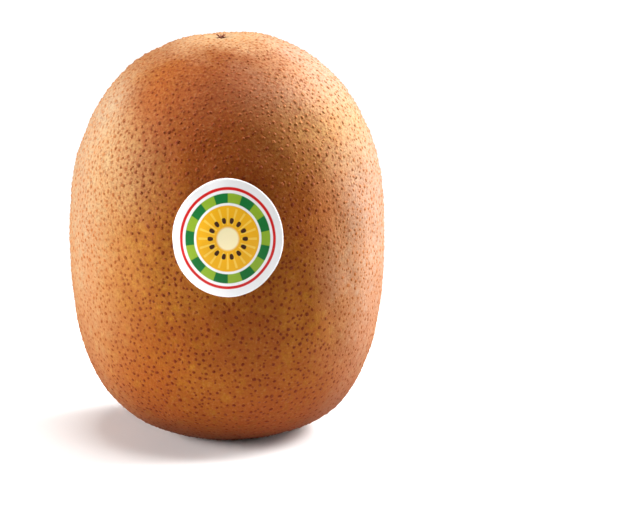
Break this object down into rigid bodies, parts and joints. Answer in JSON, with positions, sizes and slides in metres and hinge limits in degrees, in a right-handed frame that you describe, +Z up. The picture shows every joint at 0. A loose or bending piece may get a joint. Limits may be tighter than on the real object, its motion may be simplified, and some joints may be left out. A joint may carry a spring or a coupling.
{
  "type": "golden kiwifruit",
  "caption": "Whole smooth-skinned golden kiwifruit standing on its stem end, with corky pimples, a dried tuft on top and a small blank oval paper label.",
  "frame": {"origin": "middle of the flat resting spot on the stem end, at the bottom centre of the bounding box", "axes": "+Z up along the fruit's core, towards the blossom end; -Y is the labelled front; +X is the fruit's wider way, to the right as seen from the front"},
  "size_m": [0.0518, 0.0493, 0.0661],
  "materials": {
    "skin": "thin tough golden-brown fruit skin, satin",
    "label_paper": "smooth coated label paper"
  },
  "bodies": {
    "root": {"fruit": "skin", "label": "label_paper"}
  },
  "joints": []
}
